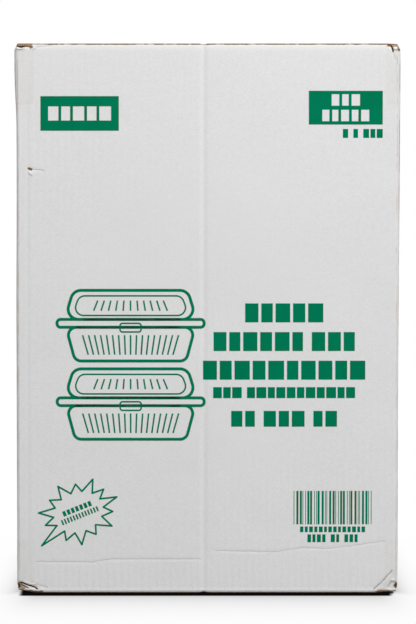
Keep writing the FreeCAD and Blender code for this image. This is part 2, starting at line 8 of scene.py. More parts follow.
import bmesh
import bpy
import numpy as np
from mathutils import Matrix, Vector


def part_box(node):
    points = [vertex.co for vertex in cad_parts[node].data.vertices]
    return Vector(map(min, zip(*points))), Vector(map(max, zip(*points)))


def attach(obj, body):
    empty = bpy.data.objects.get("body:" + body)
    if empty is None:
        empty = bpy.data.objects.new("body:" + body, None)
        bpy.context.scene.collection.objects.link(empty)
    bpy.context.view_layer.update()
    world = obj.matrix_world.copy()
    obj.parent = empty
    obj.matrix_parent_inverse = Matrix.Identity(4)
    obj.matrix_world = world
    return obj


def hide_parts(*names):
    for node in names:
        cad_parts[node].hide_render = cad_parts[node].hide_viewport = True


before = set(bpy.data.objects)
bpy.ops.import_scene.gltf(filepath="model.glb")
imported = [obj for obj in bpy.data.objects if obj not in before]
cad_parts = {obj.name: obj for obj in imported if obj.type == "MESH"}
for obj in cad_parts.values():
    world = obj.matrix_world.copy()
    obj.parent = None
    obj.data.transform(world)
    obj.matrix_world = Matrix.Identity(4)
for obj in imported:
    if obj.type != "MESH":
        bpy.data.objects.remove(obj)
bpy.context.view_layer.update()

# The carton's wear
# A used carton is bent out of true: knocked corners, creases, two level buckles and a soft bulge. The print
# and the tape lie on the same board, so one function moves the points of all three, mostly along the
# board's outward direction.

MM = 0.001
LOW, HIGH = (np.array(corner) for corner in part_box("carton"))
LENGTH, DEPTH, HEIGHT = HIGH - LOW
HALF_LENGTH, HALF_DEPTH = LENGTH / 2, DEPTH / 2
LEFT, RIGHT, BASE, TOP = -HALF_LENGTH, HALF_LENGTH, 0.0, HEIGHT
FOLD = 5 * MM  # outside radius of a fold
BEND = FOLD * math.pi / 2  # length of the outside of a fold

# Creases on the front in millimetres: a line's points, half width, depth (a ridge has less than 0), dirt
# and painted shade
CREASE_LINES = [
    # Upper left: the slit under the torn fold, the lip below it, the kink and the fine line beside it
    ([(-217.4, 622.2), (-211.5, 620.4), (-209.5, 620.4), (-204.8, 621.4)], 0.95, 1.3, 1.0),
    ([(-215.5, 618.8), (-211.0, 617.8), (-206.0, 619.0)], 1.1, -0.9, 0.0),
    ([(-204.0, 621.0), (-197.4, 620.2), (-199.6, 619.2)], 0.8, 0.7, 0.5),
    ([(-199.0, 618.3), (-194.0, 619.3)], 1.0, -0.6, 0.0),
    ([(-194.0, 620.1), (-176.0, 621.9)], 0.9, 0.4, 0.12),
    # Upper right: a deep diagonal with its tail down the tape, and the raised tip beside it
    ([(204.2, 622.8), (207.4, 621.2), (208.8, 618.4), (209.6, 615.6)], 1.1, 1.2, 0.9),
    ([(209.6, 615.6), (212.4, 605.4)], 1.1, 0.5, 0.12),
    ([(211.4, 618.0), (215.8, 617.8)], 1.6, -1.2, 0.0),
    ([(213.4, 611.0), (213.0, 570.0)], 1.1, 0.25, 0.05),
    # Lower left: two slits, the strip between them, a kink above and the fine lines beside it
    ([(-213.4, 13.6), (-199.4, 8.8), (-193.8, 6.4)], 0.9, 1.4, 1.0),
    ([(-212.0, 11.4), (-204.0, 7.1)], 0.8, 0.8, 0.75),
    ([(-209.0, 13.7), (-198.0, 10.3)], 1.0, -0.7, 0.0),
    ([(-200.0, 11.3), (-196.0, 11.8), (-192.6, 13.5)], 0.9, -0.7, 0.0),
    ([(-201.0, 12.8), (-195.0, 13.7)], 0.8, 0.4, 0.12),
    ([(-191.4, 10.3), (-182.5, 7.1)], 0.9, 0.5, 0.10),
    # Lower right: a long diagonal, the curve and the bump beside it and the slit above the hole
    ([(210.0, 26.9), (200.6, 15.7), (189.3, 5.5)], 0.9, 0.8, 0.34),
    ([(209.8, 14.5), (207.8, 11.5), (205.2, 7.3)], 0.9, 0.8, 0.22),
    ([(209.1, 16.3), (213.0, 15.3)], 1.2, -1.1, 0.0),
    ([(210.8, 12.7), (214.4, 13.3)], 0.8, 0.8, 0.3),
    # A nick on the left, a faint upright fold line past it, and the branch of a buckle
    ([(-201.8, 483.6), (-199.4, 482.4)], 1.3, 1.1, 0.5),
    ([(-199.4, 482.8), (-185.0, 480.8)], 0.9, 0.5, 0.10),
    ([(-200.8, 479.4), (-198.6, 476.8)], 1.8, -0.8, 0.0),
    ([(-202.8, 40.0), (-203.2, 560.0)], 2.6, 0.16, 0.02),
    ([(67.0, 44.4), (82.0, 47.8)], 0.9, 0.2, 0.06),
    # Where the board buckled near the base
    ([(-193.8, 36.8), (-132.5, 36.3), (-109.8, 39.7), (-7.7, 39.9)], 1.1, 0.36, 0.08),
    ([(9.3, 49.3), (77.4, 48.0), (108.0, 52.7), (136.4, 51.7), (171.5, 55.9), (201.0, 60.5)],
     1.1, 0.36, 0.07),
]
CREASES = [
    ((u * MM, v * MM), (next_u * MM, next_v * MM), half_width * MM, depth * MM, grime_and_shade)
    for line, half_width, depth, grime_and_shade in CREASE_LINES
    for (u, v), (next_u, next_v) in zip(line, line[1:])
]

CREASE = -4 * MM  # place of the upright crease that the carton was shipped flat along
CREASE_WIDTH, CREASE_DEPTH = 3.2 * MM, 1.1 * MM
GRID_WIDTH = 1.3 * MM  # the narrowest groove that the mesh can hold
# Holes punched at the lower corners: place and radius, and depth
PITS = [
    ((LEFT + 2.8 * MM, BASE + 10.0 * MM), 2.0 * MM, 0.5 * MM),
    ((RIGHT - 2.9 * MM, BASE + 9.9 * MM), 1.9 * MM, 0.9 * MM),
]
# Corners knocked in: place, depth, reach
KNOCKS = [
    ((LEFT, BASE), 0.8 * MM, 8 * MM),
    ((RIGHT, BASE), 1.8 * MM, 9 * MM),
    ((LEFT, TOP), 0.6 * MM, 8 * MM),
    ((RIGHT, TOP), 1.5 * MM, 7 * MM),
]
# Board beyond a line, to its right, bent in: start, end, slope, reach
FACETS = [
    ((RIGHT - 27 * MM, BASE + 3 * MM), (RIGHT - 7 * MM, BASE + 25 * MM), 0.11, 14 * MM),
    ((LEFT + 5 * MM, BASE + 12 * MM), (LEFT + 25 * MM, BASE + 4 * MM), 0.14, 9 * MM),
    ((RIGHT - 7.5 * MM, TOP - 11 * MM), (RIGHT - 12.5 * MM, TOP - 3.5 * MM), 0.12, 9 * MM),
]
FRONT_REACH = 14 * MM  # how far back from the front a knock on it is felt
SIDE_SHARE = 0.25  # how far a knock on the front moves the board sideways, as a share of its depth
ROLL_DEPTH, ROLL_REACH = 0.45 * MM, 2.0 * MM  # the soft curve of the board towards its flap folds
BASE_ROLL = 0.25  # how much of that curve the base has
PANEL_BULGE, SIDE_BULGE = 1.6 * MM, 2.4 * MM  # of the front and back, and of the sides
SIDE_INSET = 0.95 * MM  # how far the sides stand in at the base
# The full top stands out past the base: how far, and from where and over how much of the height
LEFT_FLARE = (2.1 * MM, 0.84, 0.12)
RIGHT_FLARE = (1.6 * MM, 0.30, 0.70)
LEFT_WAIST = (-0.7 * MM, 0.50, 0.25)  # the left side is pressed in below its flare
# The base sags to the ground between its edges, which stay a little off it: how far they are lifted, how
# far in from the edge and how far up. Its folds are tighter than the top's.
BASE_LIFT, LIFT_REACH, LIFT_HEIGHT = 1.6 * MM, 55 * MM, 230 * MM
BASE_SQUARE = 1.1 * MM
# The left front corner is crushed upwards: how far, how far round it and how far up
CORNER_LIFT, CORNER_REACH, CORNER_HEIGHT = 2.6 * MM, 23 * MM, 60 * MM


def outward(points):
    """Direction away from the carton at points on its outside, round at its folds."""
    core_low, core_high = LOW + FOLD, HIGH - FOLD
    away = points - np.clip(points, core_low, core_high)
    reach = np.linalg.norm(away, axis=-1, keepdims=True)
    return away / np.maximum(reach, 1e-9)


def smooth_step(value):
    """0 below 0, 1 above 1 and smooth between."""
    value = np.clip(value, 0, 1)
    return value * value * (3 - 2 * value)


def along_line(x, z, start, end):
    """Share of the way along a line on the front, and the distance to its left, for each point."""
    run = np.array(end) - np.array(start)
    length = np.hypot(*run)
    dx, dz = x - start[0], z - start[1]
    share = (dx * run[0] + dz * run[1]) / length**2
    aside = (dz * run[0] - dx * run[1]) / length
    return share, aside


def groove(x, z, start, end, width, depth, fade=0.12):
    """A bell-shaped groove along a line, which fades out at its ends."""
    share, aside = along_line(x, z, start, end)
    ends = smooth_step((share + fade) / (2 * fade)) * smooth_step((1 + fade - share) / (2 * fade))
    return depth * ends * np.exp(-((aside / width) ** 2))


def press_depth(points):
    """How far each point near the front is pressed in."""
    x, y, z = points.T
    depth = CREASE_DEPTH * np.exp(-(((x - CREASE) / CREASE_WIDTH) ** 2))
    for start, end, width, deep, _ in CREASES:
        depth += groove(x, z, start, end, max(width, GRID_WIDTH), deep)
    for start, end, slope, reach in FACETS:
        _, aside = along_line(x, z, start, end)
        depth += slope * np.clip(-aside, 0, reach)
    for (u, v), radius, deep in PITS:
        depth += deep * np.exp(-((x - u) ** 2 + (z - v) ** 2) / radius**2)
    for (u, v), deep, reach in KNOCKS:
        away = np.sqrt((x - u) ** 2 + (y + HALF_DEPTH) ** 2 + (z - v) ** 2)
        depth += deep * smooth_step(1 - away / reach)
    return depth * smooth_step(1 - (y + HALF_DEPTH) / FRONT_REACH)


def lift_share(distance, reach, z, height):
    """Share of a lift at the base: it falls smoothly with the distance aside, and as a square going up."""
    return smooth_step(1 - distance / reach) * np.clip(1 - z / height, 0, 1) ** 2


def flare(rise, amount, start, over):
    """An amount that comes in smoothly from a share of the height on."""
    return amount * smooth_step((rise - start) / over)


def bowed(place, half):
    """1 in the middle of a panel, 0 at its edges, as a parabola."""
    return np.clip(1 - (place / half) ** 2, 0, 1)


def worn(points):
    """Points of the true carton, moved to where the used one has them: the base's edges up, the sides and
    panels out as a sine up the height times a parabola across it, and the board's wear along its outward
    direction. The wear is worked out at the moved places."""
    away = outward(points)
    x, y, z = points.T
    rise = np.clip(z / HEIGHT, 0, 1)
    bulge = np.sin(np.pi * rise)
    moved = points.copy()
    to_side = np.minimum(HALF_LENGTH - np.abs(x), HALF_DEPTH - np.abs(y))
    to_corner = np.hypot(x - LEFT, y + HALF_DEPTH)
    moved[:, 2] += BASE_LIFT * lift_share(to_side, LIFT_REACH, z, LIFT_HEIGHT)
    moved[:, 2] += CORNER_LIFT * lift_share(to_corner, CORNER_REACH, z, CORNER_HEIGHT)
    flared = np.where(x < 0, flare(rise, *LEFT_FLARE) + flare(rise, *LEFT_WAIST), flare(rise, *RIGHT_FLARE))
    moved[:, 0] += away[:, 0] * (SIDE_BULGE * bulge * bowed(y, HALF_DEPTH) - SIDE_INSET + flared)
    pressed = press_depth(moved)
    to_end = np.maximum(np.minimum(z, HEIGHT - z) - FOLD, 0)
    to_face = np.maximum(to_side - FOLD, 0)
    on_panel = np.abs(away[:, 2]) < 0.5
    roll = ROLL_DEPTH * np.exp(-np.where(on_panel, to_end, to_face) / ROLL_REACH)
    level = np.hypot(away[:, 0], away[:, 1])
    squared = 2 * BASE_SQUARE * level * np.abs(away[:, 2])  # most half way round a fold
    shift = np.where(z < HEIGHT / 2, squared - BASE_ROLL * roll, -roll)
    moved += away * (shift[:, None] - pressed[:, None] * (SIDE_SHARE, 1, 1))
    moved[:, 1] += away[:, 1] * PANEL_BULGE * bulge * bowed(x, HALF_LENGTH)
    return moved


def turns(points):
    """How far round a flap fold each point lies, from 0 at its start to 1 at its end, below 0 on a panel
    and past 1 on a flap, in lengths of a fold. And how far round the upright fold, as the share that faces
    sideways."""
    away = outward(points)
    x, y, z = np.abs(points.T)
    away_x, away_y, away_z = np.abs(away.T)
    fold_turn = np.arctan2(away_z, away_y) / (math.pi / 2)
    fold_turn = np.where(away_y < 1e-3, 1 + np.maximum(HALF_DEPTH - FOLD - y, 0) / BEND, fold_turn)
    fold_turn = np.where(away_z < 1e-3, -np.minimum(z - FOLD, HEIGHT - FOLD - z) / BEND, fold_turn)
    level = np.hypot(away_x, away_y)
    return fold_turn, np.where(level > 1e-3, away_x / np.maximum(level, 1e-3), 0)


# The carton's board
# One sheet of single-wall corrugated board, white liner outside and kraft inside, slotted and folded round
# what it holds. Columns run from the glued tab round the four panels to the left panel's raw end over it.
# Rows run up from the end of the lower flaps, over both folds, to the end of the upper flaps.

BOARD = 4 * MM  # thickness of the corrugated board
LAYER = BOARD + 0.2 * MM  # from one board's face to the face of the one over it
FLAP_SETBACK = 3 * MM  # from a side panel's face to the outer flap's raw end
JOINT_SETBACK = 2.5 * MM  # from the back panel's face to the left panel's raw end
TAB = 30 * MM  # glued tab inside the left panel
SEAM = 3 * MM  # gap between the two outer flaps
OVERHANG = FOLD - FLAP_SETBACK  # how far the outer flap reaches past the upright fold's start
# The grid's steps, and where it is fine: near the front's edges, beside its upright crease, up to the
# buckles, round the nick, and finest where the panel turns to its upper fold
COARSE, MEDIUM, FINE = 11 * MM, 3 * MM, 1.5 * MM
CORNER_ZONE, CREASE_ZONE, FOLD_ZONE = 42 * MM, 9 * MM, 6 * MM
BUCKLE_TOP, NICK_LOW, NICK_HIGH = 62 * MM, 474 * MM, 490 * MM
FOLD_STEPS = 8  # faces round a flap fold


def spaced(start, *runs):
    """Positions from start through each (end, step), evenly spread within each run."""
    places = [np.array([start])]
    for end, step in runs:
        count = max(1, round(abs(end - start) / step))
        places.append(np.linspace(start, end, count + 1)[1:])
        start = end
    return np.concatenate(places)


# Each column: plan point, outward direction, the same two for the flap, share of inner flap, part of a flap
columns = []


def add_columns(points, away, minor, flapped):
    """Columns along one flat panel."""
    for point, is_flap in zip(points, flapped):
        columns.append((point, away, point, away, minor, is_flap))


def add_corner(centre, first, second, major_first):
    """Columns round one upright fold, without its two end columns. first and second are the outward
    directions of the panels before and after it. The outer flap reaches a little way round it, but stays
    flat."""
    from_major = spaced(0, (OVERHANG, 1 * MM), (BEND, 1 * MM))[1:-1]
    offsets = from_major if major_first else (BEND - from_major)[::-1]
    for offset in offsets:
        turn = offset / FOLD
        away = first * math.cos(turn) + second * math.sin(turn)
        past = offset if major_first else BEND - offset
        flat_away = first if major_first else second
        onward = second if major_first else first
        flat_point = centre + flat_away * FOLD + onward * past
        minor = float(smooth_step(past / BEND))
        columns.append((centre + away * FOLD, away, flat_point, flat_away, minor, past <= OVERHANG + 1e-9))


WEST, NORTH, EAST, SOUTH = (np.array(d, float) for d in ((-1, 0), (0, 1), (1, 0), (0, -1)))
left, right, front, back = LEFT, RIGHT, -HALF_DEPTH, HALF_DEPTH
tab_x = left + LAYER
side_places = spaced(front + FOLD, (front + CORNER_ZONE, MEDIUM), (back - FOLD, COARSE))
front_places = spaced(
    left + FOLD,
    (left + CORNER_ZONE, FINE),
    (CREASE - CREASE_ZONE, COARSE * 0.8),
    (CREASE + CREASE_ZONE, FINE * 0.8),
    (right - CORNER_ZONE, COARSE * 0.8),
    (right - FOLD, FINE),
)
tab_places = spaced(back - FOLD - TAB, (back - FOLD, COARSE))
add_columns([(tab_x, y) for y in tab_places], WEST, 1.0, [False] * len(tab_places))
add_corner(np.array([tab_x + FOLD, back - FOLD]), WEST, NORTH, False)
back_places = spaced(tab_x + FOLD, (right - FOLD, COARSE))
add_columns([(x, back) for x in back_places], NORTH, 0.0, [True] * len(back_places))
add_corner(np.array([right - FOLD, back - FOLD]), NORTH, EAST, True)
add_columns([(right, y) for y in side_places[::-1]], EAST, 1.0, [True] * len(side_places))
add_corner(np.array([right - FOLD, front + FOLD]), EAST, SOUTH, False)
add_columns([(x, front) for x in front_places[::-1]], SOUTH, 0.0, [True] * len(front_places))
add_corner(np.array([left + FOLD, front + FOLD]), SOUTH, WEST, True)
add_columns([(left, y) for y in side_places], WEST, 1.0, [True] * len(side_places))
add_columns([(left, back - JOINT_SETBACK)], WEST, 1.0, [False])

plan, away, flap_plan, flap_away, minor, flapped = (np.array(part) for part in zip(*columns))
steps = np.linalg.norm(np.diff(plan, axis=0), axis=1)
across = np.concatenate([[0], np.cumsum(steps)])

FLAP_END = HALF_DEPTH - SEAM / 2
flap_insets = spaced(FOLD, (FOLD + 12 * MM, 2.4 * MM), (FLAP_END, COARSE * 1.3))
bends = np.linspace(0, math.pi / 2, FOLD_STEPS + 1)[1:-1]
panel_heights = spaced(
    FOLD,
    (BUCKLE_TOP, FINE),
    (NICK_LOW, COARSE),
    (NICK_HIGH, FINE),
    (HEIGHT - CORNER_ZONE, COARSE),
    (HEIGHT - FOLD - FOLD_ZONE, FINE),
    (HEIGHT - FOLD, FINE / 2),
)

# Each row: inset, height above the base or below the top, share of out, share of up, end and turn
AT_BASE, AT_PANEL, AT_TOP = 0, 0.5, 1
rows = []
for inset in flap_insets[::-1]:
    rows.append((inset, 0.0, 0.0, -1.0, AT_BASE, 1 + (inset - FOLD) / BEND))
for bend in bends:
    out, down = math.sin(bend), math.cos(bend)
    rows.append((FOLD * (1 - out), FOLD * (1 - down), out, -down, AT_BASE, 1 - bend / (math.pi / 2)))
first_panel_row = len(rows)
for height in panel_heights:
    rows.append((0.0, height, 1.0, 0.0, AT_PANEL, -min(height - FOLD, HEIGHT - FOLD - height) / BEND))
last_panel_row = len(rows) - 1
for bend in bends:
    out, up = math.cos(bend), math.sin(bend)
    rows.append((FOLD * (1 - out), FOLD * (1 - up), out, up, AT_TOP, bend / (math.pi / 2)))
for inset in flap_insets:
    rows.append((inset, 0.0, 0.0, 1.0, AT_TOP, 1 + (inset - FOLD) / BEND))
inset, level, out_share, up_share, end, turn = (np.array(part)[:, None] for part in zip(*rows))

# Inner flaps lie one board inside the outer ones, and the side panels are shorter to match
step_in = (minor * LAYER)[None, :]
share_up = (level - FOLD) / (HEIGHT - 2 * FOLD)
panel_height = step_in + FOLD + share_up * (HEIGHT - 2 * FOLD - 2 * step_in)
end_height = np.where(end == AT_BASE, step_in + level, HEIGHT - step_in - level)
height = np.where(end == AT_PANEL, panel_height, end_height)
flat_share = np.clip(turn, 0, 1)[..., None] * flapped[None, :, None]
column_plan = plan[None] * (1 - flat_share) + flap_plan[None] * flat_share
column_away = away[None] * (1 - flat_share) + flap_away[None] * flat_share
column_away /= np.linalg.norm(column_away, axis=-1, keepdims=True)
outside = np.dstack([column_plan - column_away * inset[..., None], height])
normal = np.dstack([column_away * out_share[..., None], np.broadcast_to(up_share, height.shape)])

row_count, column_count = height.shape
outer_points = worn(outside.reshape(-1, 3))
points = np.vstack([outer_points, outer_points - normal.reshape(-1, 3) * BOARD])
grid = np.arange(row_count * column_count).reshape(row_count, column_count)

in_panel = (np.arange(row_count - 1) >= first_panel_row) & (np.arange(row_count - 1) < last_panel_row)
kept = in_panel[:, None] | (flapped[:-1] & flapped[1:])[None, :]
corners = np.stack([grid[:-1, :-1], grid[1:, :-1], grid[1:, 1:], grid[:-1, 1:]], axis=-1)
outer_faces = corners[kept]
inner_faces = outer_faces[:, ::-1] + grid.size
padded = np.pad(kept, 1)
rim_faces = []
neighbours, sides = ((0, -1), (1, 0), (0, 1), (-1, 0)), ((0, 1), (1, 2), (2, 3), (3, 0))
for (down, along), (start, stop) in zip(neighbours, sides):
    beyond = padded[1 + down : 1 + down + kept.shape[0], 1 + along : 1 + along + kept.shape[1]]
    open_side = corners[kept & ~beyond]
    a, b = open_side[:, start], open_side[:, stop]
    rim_faces.append(np.stack([b, a, a + grid.size, b + grid.size], axis=-1))
rim_faces = np.concatenate(rim_faces)
faces = np.concatenate([outer_faces, inner_faces, rim_faces])
used, faces = np.unique(faces, return_inverse=True)
faces = faces.reshape(-1, 4)

steps_up = np.hypot(np.diff(inset[:, 0]), np.diff(height[:, column_count // 2]))
up_length = np.concatenate([[0], np.cumsum(steps_up)])


def on_both_faces(values):
    """Values of the grid's rows or columns, for each used point of the outer face, then of the inner."""
    return np.tile(np.broadcast_to(values, grid.shape).ravel(), 2)[used]


def add_values(mesh, values):
    """Stores each named list of numbers, one for each point of the mesh."""
    for name, numbers in values.items():
        mesh.attributes.new(name, "FLOAT", "POINT").data.foreach_set("value", numbers.astype(np.float32))


carton_mesh = bpy.data.meshes.new("carton_board")
carton_mesh.from_pydata(points[used], [], faces)
is_liner = np.arange(len(faces)) < len(outer_faces) + len(inner_faces)
carton_mesh.polygons.foreach_set("use_smooth", is_liner)
blank_uv = carton_mesh.uv_layers.new(name="blank")
loop_points = np.empty(len(carton_mesh.loops), int)
carton_mesh.loops.foreach_get("vertex_index", loop_points)
blank_place = np.stack([on_both_faces(across[None]), on_both_faces(up_length[:, None])], axis=-1)
blank_uv.data.foreach_set("uv", blank_place[loop_points].ravel())
add_values(carton_mesh, {
    "layer": np.repeat([0.0, 1.0], grid.size)[used],
    "fold_turn": on_both_faces(turn),
    "corner_turn": on_both_faces(np.abs(away[:, 0])[None]),
})
carton = bpy.data.objects.new("carton_board", carton_mesh)
bpy.context.collection.objects.link(carton)
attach(carton, "root")
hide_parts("carton")

# The board's finish
# Bleached white liner over kraft. Where it is cracked along a fold or torn at a corner the brown kraft
# shows, dirt and painted shade sit in the creases, cracks and holes, and a raw end shows the flutes between
# its two liners, with painted shade in their hollows.

FLUTE_PITCH = 7.9 * MM
FLUTE_SWAY = 6 * MM  # how far the lines of the flutes wander aside
# Heights of the liner's relief: of the flutes everywhere, and more of it in patches, of fibre and of cockle
FLUTE_RISE, PATCH_RISE, FIBRE_RISE, COCKLE_RISE = 0.012 * MM, 0.045 * MM, 0.06 * MM, 1.1 * MM
CREASE_WANDER = 2.4 * MM  # how far a crease's sharp middle strays from its line
CREASE_BITE = 0.6  # its depth in the relief, as a share of the crease's depth
LINER = (0.80, 0.80, 0.797, 1)
KRAFT = (0.37, 0.225, 0.11, 1)
# Dark brown of dirt and of painted shade, for the creases, the holes and the middles of cracks and tears
GRIME_AND_SHADE = (0.022, 0.015, 0.010, 1)
# Painted shade in the hollows between the flutes on a raw end and in the seam's gap under the tape
RECESS_SHADE = (0.06, 0.035, 0.02, 1)
# Liner scraped off at the corners in millimetres: middle, half width, half height, share of kraft, of dirt
# and painted shade
SCRAPES = [
    # Each hole has a kraft rim and a dark middle, which is painted shade in the hole
    ((-214.4, 10.0), 3.4, 4.0, 1.0, 0.0),
    ((-214.8, 10.0), 1.9, 2.8, 0.0, 1.0),
    ((-210.2, 7.8), 4.4, 2.3, 0.9, 0.05),
    ((-200.0, 3.2), 14.0, 1.3, 1.0, 0.30),
    ((214.6, 9.6), 2.6, 3.8, 1.0, 0.0),
    ((214.7, 9.6), 1.4, 2.6, 0.0, 1.0),
    ((203.0, 3.0), 13.0, 1.5, 1.0, 0.30),
    ((199.0, 4.6), 8.0, 1.6, 0.5, 0.0),
    ((216.4, 619.6), 2.2, 4.6, 1.0, 0.35),
]
LEFT_STRIP, RIGHT_STRIP = 20.0 * MM, 14.8 * MM  # how far in from the edges the tape tore the folds' liner
# Where the liner is gone, as places round a flap fold from 0 at its start to 1 at its end
BASE_CRACK, TOP_CRACK, CRACK_END = 0.52, 0.42, 1.0
BASE_TEAR, TOP_TEAR, TEAR_END = 0.42, 0.10, 1.15
BASE_CORE, TOP_CORE, TEAR_CORE = 0.38, 0.78, 0.55  # share of dirt and painted shade in the middle of a crack and of a tear
# Rubbed lines down the upright folds, as the share that faces sideways, and their share of kraft
FRONT_SCUFF, FRONT_SCUFF_SHARE = (0.28, 0.44), 0.50
SIDE_SCUFF, SIDE_SCUFF_SHARE = (0.76, 0.95), 0.65


def node(tree, kind, inputs=None, **settings):
    """A new node with its settings, and inputs given as values or as sockets to link from."""
    made = tree.nodes.new(kind)
    for name, value in settings.items():
        setattr(made, name, value)
    for name, value in (inputs or {}).items():
        if isinstance(value, bpy.types.NodeSocket):
            tree.links.new(value, made.inputs[name])
        else:
            made.inputs[name].default_value = value
    return made


def maths(tree, operation, first, second=0.0, third=0.0):
    """The result of one sum."""
    return node(tree, "ShaderNodeMath", {0: first, 1: second, 2: third}, operation=operation).outputs[0]


def product(tree, first, *others):
    """Several values multiplied together."""
    for other in others:
        first = maths(tree, "MULTIPLY", first, other)
    return first


def vector_maths(tree, operation, output, **inputs):
    """The result of one sum on vectors. Inputs are a, b and scale."""
    sockets = {{"a": 0, "b": 1, "scale": "Scale"}[name]: value for name, value in inputs.items()}
    return node(tree, "ShaderNodeVectorMath", sockets, operation=operation).outputs[output]


def ramp(tree, value, low, high):
    """0 below low, 1 above high, smooth between. low may be the larger."""
    made = node(tree, "ShaderNodeMapRange", {"Value": value, "From Min": low, "From Max": high},
                interpolation_type="SMOOTHSTEP")
    return made.outputs["Result"]


def band_mask(tree, value, low, high, soft):
    """1 where a value lies between low and high, with soft ends."""
    above, below = ramp(tree, value, low - soft, low + soft), ramp(tree, value, high + soft, high - soft)
    return product(tree, above, below)


def noise(tree, place, scale, detail=3.0, roughness=0.5):
    """Noise at a number of features to the metre."""
    inputs = {"Vector": place, "Scale": scale, "Detail": detail, "Roughness": roughness}
    return node(tree, "ShaderNodeTexNoise", inputs).outputs["Fac"]


def mixed(tree, share, first, second):
    """One colour over another."""
    made = node(tree, "ShaderNodeMix", data_type="RGBA")
    for socket, value in ((made.inputs[0], share), (made.inputs[6], first), (made.inputs[7], second)):
        if isinstance(value, bpy.types.NodeSocket):
            tree.links.new(value, socket)
        else:
            socket.default_value = value
    return made.outputs[2]


def shaded(tree, colour, tone):
    """A colour made lighter or darker by a tone."""
    if isinstance(colour, tuple):
        colour = colour[:3]
    return vector_maths(tree, "SCALE", "Vector", a=colour, scale=tone)


def new_group(name, inputs, outputs):
    """A shader node group with its named sockets, its start and its end."""
    group = bpy.data.node_groups.new(name, "ShaderNodeTree")
    for in_out, sockets in (("INPUT", inputs), ("OUTPUT", outputs)):
        for socket, kind in sockets.items():
            group.interface.new_socket(socket, in_out=in_out, socket_type=f"NodeSocket{kind}")
    return group, group.nodes.new("NodeGroupInput").outputs, group.nodes.new("NodeGroupOutput").inputs


def paper_relief_group():
    """Height of a bleached liner over flutes, in metres: fine fibre, the faint washboard of the flutes,
    which sway a little and show most near the base, and a slow cockle. Tone is its mottle. The print and
    the tape show the same relief as the bare board."""
    group, start, end = new_group("paper_relief", {"Place": "Vector"}, {"Height": "Float", "Tone": "Float"})
    place = start["Place"]
    xyz = node(group, "ShaderNodeSeparateXYZ", {"Vector": place}).outputs
    sway = product(group, noise(group, place, 9.0, 1.0), FLUTE_SWAY)
    swayed = maths(group, "ADD", xyz["X"], sway)
    wave = maths(group, "SINE", product(group, swayed, 2 * math.pi / FLUTE_PITCH))
    patch = ramp(group, noise(group, place, 4.0, 2.0), 0.40, 0.70)
    patch = maths(group, "MAXIMUM", patch, product(group, ramp(group, xyz["Z"], 0.040, 0.020), 1.6))
    washboard = product(group, wave, maths(group, "MULTIPLY_ADD", patch, PATCH_RISE, FLUTE_RISE))
    fibre = product(group, noise(group, place, 900.0, 4.0, 0.6), FIBRE_RISE)
    cockle = product(group, noise(group, place, 16.0, 2.0), COCKLE_RISE)
    group.links.new(maths(group, "ADD", washboard, maths(group, "ADD", fibre, cockle)), end["Height"])
    mottle = maths(group, "MULTIPLY_ADD", noise(group, place, 620.0, 2.0, 0.6), 0.20, 0.90)
    fleck = maths(group, "MULTIPLY_ADD", noise(group, place, 180.0, 3.0, 0.6), 0.06, 0.97)
    cloud = maths(group, "MULTIPLY_ADD", noise(group, place, 7.0, 3.0), 0.05, 0.975)
    group.links.new(product(group, mottle, fleck, cloud), end["Tone"])
    return group


def on_front(point):
    """A point of the front as a vector, without its depth."""
    return (point[0], 0.0, point[1])


def line_distance(tree, flat_place, start, end):
    """Distance from a line on the front: from its nearest point, found by the clamped share along it."""
    run = np.array(end) - np.array(start)
    length = float(np.hypot(*run))
    direction = on_front(run / length)
    from_start = vector_maths(tree, "SUBTRACT", "Vector", a=flat_place, b=on_front(start))
    along = vector_maths(tree, "DOT_PRODUCT", "Value", a=from_start, b=direction)
    along = node(tree, "ShaderNodeClamp", {"Value": along, "Min": 0.0, "Max": length}).outputs["Result"]
    nearest = vector_maths(tree, "SCALE", "Vector", a=direction, scale=along)
    return vector_maths(tree, "DISTANCE", "Value", a=from_start, b=nearest)


